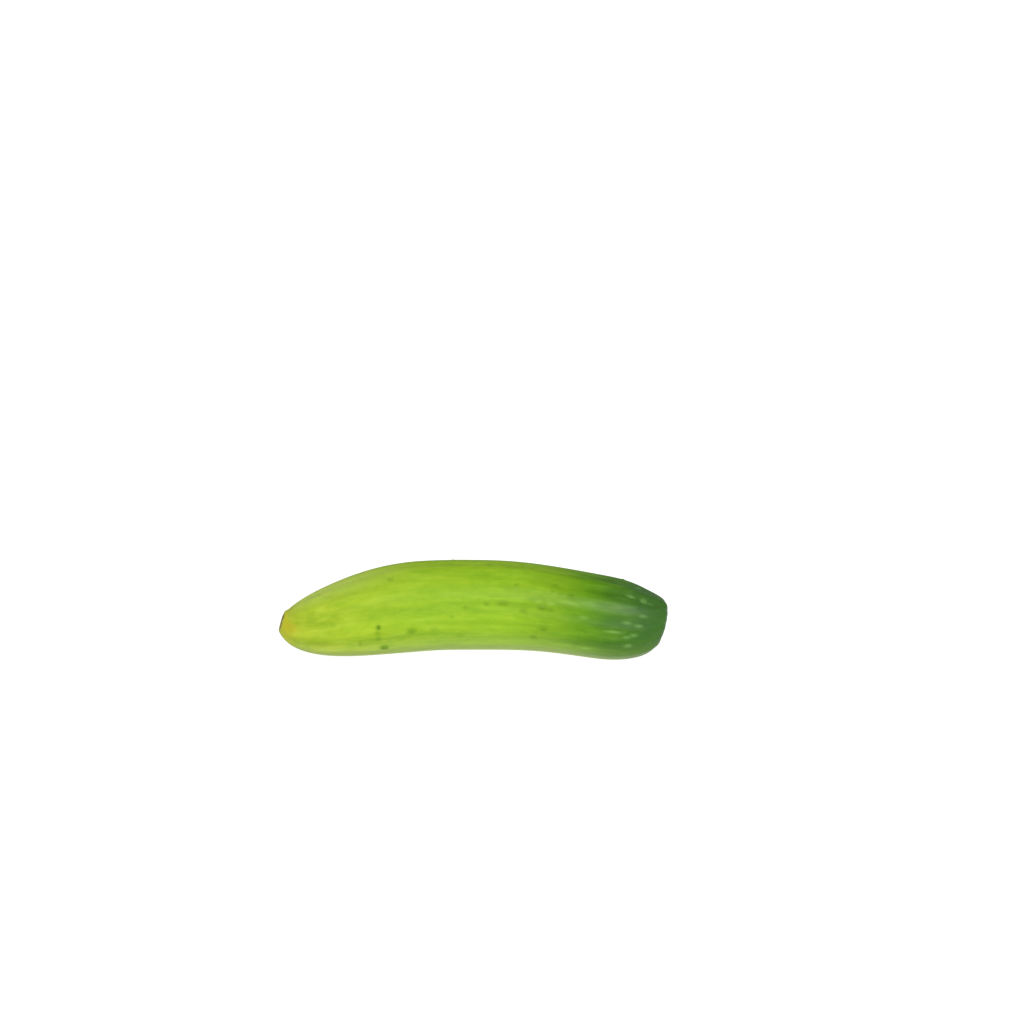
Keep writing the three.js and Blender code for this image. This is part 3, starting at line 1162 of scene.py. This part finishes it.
@dataclass
class CucumberSkin:
    """The whole closed skin of the fruit, with the dimples of its two scars, on a fine mesh."""

    form: FruitForm = field(default_factory=FruitForm)
    warts: Warts = field(default_factory=Warts)
    finish: SkinFinish = field(default_factory=SkinFinish)
    sides: int = 240
    body_rings: int = 270
    scar_steps: int = 8
    ring_crowding: float = 0.6
    # From a scar's outermost ring to the body's first one, and the body's ring that the curve heads for there
    cap_gap: float = 0.5
    heading_ring: int = 3
    # The stem end's corner: its radius, the distances at which the rounding fades, and how soft it is
    stem_corner: float = 6.5
    corner_reach: Span = (0.72, 2.4)
    corner_blur: float = 1.3
    blossom_scar: BlossomScar = field(default_factory=BlossomScar)
    stem_scar: StemScar = field(default_factory=StemScar)
    # The orange blush beside the blossom scar
    blush: Mark = Mark(-54.2, 52, 4.2, 4.2)
    # Pale flecks that read one by one. Those at 32 to 41 degrees from the top lie along the highlight band and
    # are partly painted sheen
    flecks_and_sheen: tuple[Mark, ...] = (
        Mark(19.2, 41, 1.3, 0.6, 0.5),
        Mark(23.1, 41, 1.5, 0.6, 0.5),
        Mark(28.6, 37, 3.2, 0.7, 0.35),
        Mark(34.0, 32, 3.4, 0.8, 0.45),
        Mark(33.1, 53, 1.6, 0.6, 0.5),
        Mark(34.9, 101, 1.5, 0.6, 0.6),
        Mark(41.8, 67, 2.6, 0.5, 0.9),
        Mark(44.9, 52, 1.5, 0.6, 0.6),
        Mark(45.2, 9, 1.4, 0.6, 0.7),
        Mark(45.2, 74, 1.3, 0.6, 0.6),
        Mark(45.8, 90, 1.2, 0.9, 0.8),
        Mark(47.0, 71, 1.3, 0.7, 0.6),
        Mark(48.2, 56, 1.2, 0.6, 0.6),
        Mark(49.1, 11, 1.1, 1.0, 0.9),
        Mark(49.1, 39, 1.2, 0.6, 0.6),
        Mark(50.8, 13, 0.9, 0.5, 0.5),
        Mark(38.0, -40, 1.7, 0.7, 0.8),
        Mark(44.0, -75, 1.6, 0.8, 0.9),
        Mark(47.5, -20, 1.2, 0.7, 0.7),
        Mark(30.0, -60, 1.5, 0.6, 0.6),
        Mark(46.0, -120, 1.4, 0.8, 0.8),
        Mark(40.0, -105, 1.5, 0.6, 0.7),
        Mark(49.0, 140, 1.2, 0.7, 0.8),
        Mark(43.0, 125, 1.5, 0.6, 0.7),
    )
    # Dark freckles that read one by one
    freckles: tuple[Mark, ...] = (
        Mark(-36.1, 94, 0.7, 1.6, 0.35),
        Mark(-30.2, 70, 0.8, 1.0, 1.0),
        Mark(-30.6, 78, 1.0, 1.2, 0.35),
        Mark(-30.7, 88, 1.2, 1.3, 0.4),
        Mark(-29.3, 105, 1.7, 1.2, 0.8),
        Mark(-20.1, 81, 2.0, 1.3, 0.5),
        Mark(-12.7, 80, 1.6, 0.9, 0.25),
        Mark(-4.4, 92, 1.9, 0.9, 0.3),
        Mark(8.6, 47, 2.4, 1.0, 0.4),
        Mark(15.1, 55, 1.8, 0.9, 0.35),
        Mark(18.9, 92, 1.5, 1.0, 0.5),
        Mark(20.7, 49, 2.0, 1.1, 0.65),
        Mark(23.1, 50, 1.5, 0.9, 0.45),
        Mark(21.9, 78, 1.6, 1.0, 0.5),
        Mark(23.6, 15, 1.6, 0.9, 0.35),
        Mark(28.7, 28, 1.5, 1.0, 0.5),
        Mark(32.8, 95, 1.7, 0.9, 0.4),
        Mark(41.7, 61, 1.5, 0.8, 0.35),
        Mark(44.3, 64, 1.4, 0.7, 0.35),
    )
    # How much larger they are drawn, and the nearness at which each has its full strength
    freckle_size: float = 1.3
    fleck_and_sheen_size: float = 1.45
    freckle_full_at: float = 0.8
    fleck_and_sheen_full_at: float = 1.0
    blush_full_at: float = 0.9
    # Freckles on the warts: size and strength to the wart's
    wart_freckle: Span = (1.5, 0.35)
    stripe: Ribs = Ribs(10, 1.0, 0.9, 0.5)
    stripe_start: float = math.radians(10)
    # Where the pale belly starts and is full, by how far down the skin looks, and how much of it is lost over
    # which share of the length. Its paleness is partly the fruit's own ground spot and partly painted floor
    # light
    belly_levels: Span = (-0.1, 0.8)
    belly_loss: Triple = (0.6, 0.5, 0.9)
    # The back, turned away from the top, and the top, by how far the skin looks that way
    back_turn: float = math.radians(55)
    back_levels: Span = (0.2, 0.9)
    top_levels: Span = (0.2, 0.75)
    # The yellow tip: how far from its end it is full and how far it reaches
    tip_reach: Span = (0.5, 8.0)

    @property
    def scars(self) -> tuple[Scar, Scar]:
        """Both scars, from the blossom end."""
        return self.blossom_scar, self.stem_scar

    def rounded(self, rings: np.ndarray) -> np.ndarray:
        """Runs a smooth curve through the scar's rings.

        Args:
            rings: Pairs of radius and place along, with one neighbour more at the outer end.

        Returns:
            The curve's points, from the axis to the last but one ring.
        """
        first = rings[1] * np.array([-1.0, 1.0])
        points = np.vstack([first, rings])
        curve = []
        t = np.arange(self.scar_steps)[:, None] / self.scar_steps
        for before, start, end, after in zip(points, points[1:], points[2:], points[3:]):
            slope = end - before
            bend = 2 * before - 5 * start + 4 * end - after
            twist = 3 * start - before - 3 * end + after
            curve.append((2 * start + slope * t + bend * t**2 + twist * t**3) / 2)
        return np.vstack([*curve, points[-2]])

    def outline(self) -> np.ndarray:
        """The fruit's outline before it is bent.

        Returns:
            Pairs of radius and place along, from the blossom end's axis to the stem end's.
        """
        start, stop = [self.form.along_of_radius(scar.outer + self.cap_gap, scar.end) for scar in self.scars]
        even = np.linspace(0, 1, self.body_rings + 1)
        crowded = (1 - np.cos(math.pi * even)) / 2
        along = start + (stop - start) * (even + (crowded - even) * self.ring_crowding)
        body = np.stack([self.form.body_radius(along), along], axis=1)
        caps = []
        for scar, inwards in zip(self.scars, (body, body[::-1])):
            rings = [(radius, scar.end * (self.form.half + stand)) for radius, stand in scar.rings]
            caps.append(self.rounded(np.vstack([rings, inwards[0], inwards[self.heading_ring]]))[:-1])
        return self.softened(np.vstack([caps[0], body, caps[1][::-1]]))

    def softened(self, outline: np.ndarray) -> np.ndarray:
        """Rounds the corner where the stem end's face meets the body.

        Args:
            outline: Pairs of radius and place along.

        Returns:
            The same points, drawn together near that corner.
        """
        steps = np.hypot(*np.diff(outline, axis=0).T)
        path = np.concatenate([[0], np.cumsum(steps)])
        share = np.gradient(path)
        weights = bulge(path[:, None], path[None], self.corner_blur) * share[None]
        drawn = weights @ outline / weights.sum(axis=1, keepdims=True)
        near = 1 - smoothstep(np.abs(outline[:, 0] - self.stem_corner), *self.corner_reach)
        near = (near * (outline[:, 1] > self.form.thickest_at))[:, None]
        return outline + (drawn - outline) * near

    def points(self) -> tuple[np.ndarray, dict[str, np.ndarray]]:
        """Works out every vertex and what the material reads there.

        Returns:
            The points in millimetres as rings by sides, and the named values at them.
        """
        outline = self.outline()
        angle = np.linspace(-math.pi, math.pi, self.sides, endpoint=False)
        along, angle = np.meshgrid(outline[1:-1, 1], angle, indexing="ij")
        smooth = np.repeat(outline[1:-1, 0][:, None], self.sides, axis=1)
        radius = smooth + self.form.relief(along, angle, smooth)
        places = (along, angle, smooth)
        warts = self.warts.marks(self.form.half)
        for wart in warts:
            radius += self.warts.height * strongest([wart], places, self.warts.full_at)
        freckles = [mark.scaled(self.freckle_size) for mark in self.freckles]
        freckles += [wart.scaled(*self.wart_freckle) for wart in warts]
        flecks_and_sheen = [mark.scaled(self.fleck_and_sheen_size) for mark in self.flecks_and_sheen]
        share = along / self.form.half
        loss, start, end = self.belly_loss
        belly = smoothstep(-np.cos(angle), *self.belly_levels) * (1 - loss * smoothstep(share, start, end))
        relief, cork, pale = np.zeros_like(radius), np.zeros_like(radius), np.zeros_like(radius)
        for scar in self.scars:
            here = (share * scar.end > 0) & (smooth < scar.outer)
            relief = np.where(here, scar.end * scar.relief(smooth, angle), relief)
            cork = np.where(here, scar.cork(smooth, angle), cork)
            pale = np.where(here, scar.pale(smooth, angle), pale)
        straight = np.stack([along, radius * np.cos(angle), radius * np.sin(angle)], axis=-1)
        named = {
            "along": share,
            "freckle": strongest(freckles, places, self.freckle_full_at),
            "fleck": strongest(flecks_and_sheen, places, self.fleck_and_sheen_full_at),
            "belly": belly,
            "back": smoothstep(np.cos(angle + self.back_turn), *self.back_levels),
            "top": smoothstep(np.cos(angle), *self.top_levels),
            "stripe": (1 + self.stripe.at(angle + self.stripe_start, share)) / 2,
            "tip": 1 - smoothstep(along + self.form.half, *self.tip_reach),
            "blush": strongest([self.blush], places, self.blush_full_at),
            "cork": cork,
            "cork_pale": pale,
            "straight": straight / MM_PER_CM,
        }
        return self.form.grown(along + relief, angle, smooth, radius), named

    def build(self, box: tuple[np.ndarray, np.ndarray]) -> bpy.types.Object:
        """Makes the skin's mesh.

        Args:
            box: The lowest and highest corner that it stays within, in metres.

        Returns:
            The dressed skin.
        """
        grid, named = self.points()
        rings, sides = grid.shape[:2]
        outline = self.outline()
        ends = np.array([outline[0, 1], outline[-1, 1]])
        tips = self.form.grown(ends, np.zeros(2), np.zeros(2), np.zeros(2))
        places = np.vstack([grid.reshape(-1, 3), tips]) * MM
        places = np.clip(places, np.array(box[0]), np.array(box[1]))
        index = np.arange(rings * sides).reshape(rings, sides)
        around = np.roll(index, -1, axis=1)
        quads = np.stack([index[:-1], around[:-1], around[1:], index[1:]], axis=-1).reshape(-1, 4)
        first, last = rings * sides, rings * sides + 1
        fans = [(first, int(b), int(a)) for a, b in zip(index[0], around[0])]
        fans += [(last, int(a), int(b)) for a, b in zip(index[-1], around[-1])]
        mesh = bpy.data.meshes.new("cucumber_skin")
        mesh.from_pydata(places.tolist(), [], quads.tolist() + fans)
        mesh.shade_smooth()
        for name, values in named.items():
            if values.ndim == 3:
                kind, channel = "FLOAT_VECTOR", "vector"
                at_tips = np.outer(ends / MM_PER_CM, (1, 0, 0))
            else:
                kind, channel = "FLOAT", "value"
                at_tips = np.array([values[0].mean(), values[-1].mean()])
            every = np.concatenate([values.ravel(), at_tips.ravel()])
            mesh.attributes.new(name, kind, "POINT").data.foreach_set(channel, every)
        mesh.materials.append(self.finish.material())
        skin = bpy.data.objects.new("cucumber_skin", mesh)
        bpy.context.scene.collection.objects.link(skin)
        return skin


@dataclass(frozen=True)
class FloorFinish:
    """The plain white floor, lit from below like a light table, so that the fruit casts hardly a shadow."""

    colour: Paint = (0.2, 0.2, 0.2, 1.0)
    roughness: float = 0.8
    specular: float = 0.1
    glow: float = 0.95

    def material(self) -> bpy.types.Material:
        """Builds the floor's one plain shader.

        Returns:
            The material.
        """
        sheet = MaterialSheet("light_table")
        return sheet.surface(
            {
                "Base Color": self.colour,
                "Roughness": self.roughness,
                "Specular IOR Level": self.specular,
                "Emission Color": WHITE,
                "Emission Strength": self.glow,
            }
        )


@dataclass
class Studio:
    """The light table, the soft light and the camera. Millimetres, degrees and watts."""

    floor_side: float = 6000.0
    floor_drop: float = 0.02
    finish: FloorFinish = field(default_factory=FloorFinish)
    sky: float = 0.3
    lens: float = 70.0
    sensor: float = 36.0
    elevation: float = 38.0
    photo_side: float = 1024.0
    mm_per_px: float = 0.2956
    middle: Triple = (0.0, -2.5, 13.0)
    middle_px: Span = (475.0, 610.0)
    # Each light: name, width and height, watts, place as azimuth from the camera, elevation and distance
    lights: tuple[tuple[str, Span, float, Triple], ...] = (
        ("key", (1100.0, 300.0), 9.0, (6.0, 60.0, 900.0)),
        ("fill", (1600.0, 1600.0), 4.0, (15.0, 22.0, 1300.0)),
    )

    def build_floor(self) -> bpy.types.Object:
        """Lays the floor just under the fruit.

        Returns:
            The floor.
        """
        side = self.floor_side * MM / 2
        corners = [(-side, -side, 0), (side, -side, 0), (side, side, 0), (-side, side, 0)]
        mesh = bpy.data.meshes.new("floor")
        mesh.from_pydata(corners, [], [(0, 1, 2, 3)])
        mesh.materials.append(self.finish.material())
        floor = bpy.data.objects.new("floor", mesh)
        floor.location.z = -self.floor_drop * MM
        bpy.context.scene.collection.objects.link(floor)
        return floor

    def direction(self, azimuth: float, elevation: float) -> np.ndarray:
        """The way from the fruit out to a place, with azimuth 0 on the camera's side."""
        turn, rise = math.radians(azimuth), math.radians(elevation)
        return np.array([math.sin(turn) * math.cos(rise), -math.cos(turn) * math.cos(rise), math.sin(rise)])

    def build_lights(self) -> None:
        """Hangs the soft boxes and lights the sky."""
        world = bpy.data.worlds.new("studio")
        world.use_nodes = True
        background = world.node_tree.nodes["Background"]
        background.inputs["Color"].default_value = WHITE
        background.inputs["Strength"].default_value = self.sky
        bpy.context.scene.world = world
        for name, (wide, high), watts, (azimuth, elevation, distance) in self.lights:
            lamp = bpy.data.lights.new(name, "AREA")
            lamp.shape = "RECTANGLE"
            lamp.size = wide * MM
            lamp.size_y = high * MM
            lamp.energy = watts
            box = bpy.data.objects.new(name, lamp)
            way = self.direction(azimuth, elevation)
            box.location = (np.array(self.middle) + way * distance) * MM
            box.rotation_mode = "QUATERNION"
            box.rotation_quaternion = self.facing(way)
            bpy.context.scene.collection.objects.link(box)

    def facing(self, way: np.ndarray) -> Sequence[float]:
        """The turn that makes a lamp or a camera look back along a way."""
        return mathutils.Vector([-float(part) for part in way]).to_track_quat("-Z", "Y")

    def build_camera(self) -> bpy.types.Object:
        """Places the camera where the photograph was taken from.

        Returns:
            The camera.
        """
        lens = bpy.data.cameras.new("camera")
        lens.lens = self.lens
        lens.sensor_width = self.sensor
        camera = bpy.data.objects.new("camera", lens)
        bpy.context.scene.collection.objects.link(camera)
        distance = self.mm_per_px * self.photo_side / self.sensor * self.lens
        back = self.direction(0.0, self.elevation)
        right = np.array([1.0, 0.0, 0.0])
        up = np.cross(back, right)
        across = (self.middle_px[0] - self.photo_side / 2) * self.mm_per_px
        down = (self.middle_px[1] - self.photo_side / 2) * self.mm_per_px
        place = np.array(self.middle) + back * distance - right * across + up * down
        camera.location = place * MM
        camera.rotation_mode = "QUATERNION"
        camera.rotation_quaternion = self.facing(back)
        bpy.context.scene.camera = camera
        return camera

    def build(self) -> bpy.types.Object:
        """Sets the studio up.

        Returns:
            The floor, which isn't part of the object.
        """
        self.build_lights()
        self.build_camera()
        bpy.context.scene.view_settings.view_transform = "Standard"
        return self.build_floor()


def main() -> None:
    """Builds the fruit and the studio, and reports each piece."""
    logging.basicConfig(level=logging.INFO, format="%(name)s: %(message)s")
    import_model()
    cad_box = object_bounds()
    skin = CucumberSkin().build(cad_box)
    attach(skin, "root")
    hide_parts("cucumber")
    LOG.info("%s: %d faces", skin.name, len(skin.data.polygons))
    floor = Studio().build()
    LOG.info("%s laid", floor.name)


if __name__ == "__main__":
    main()
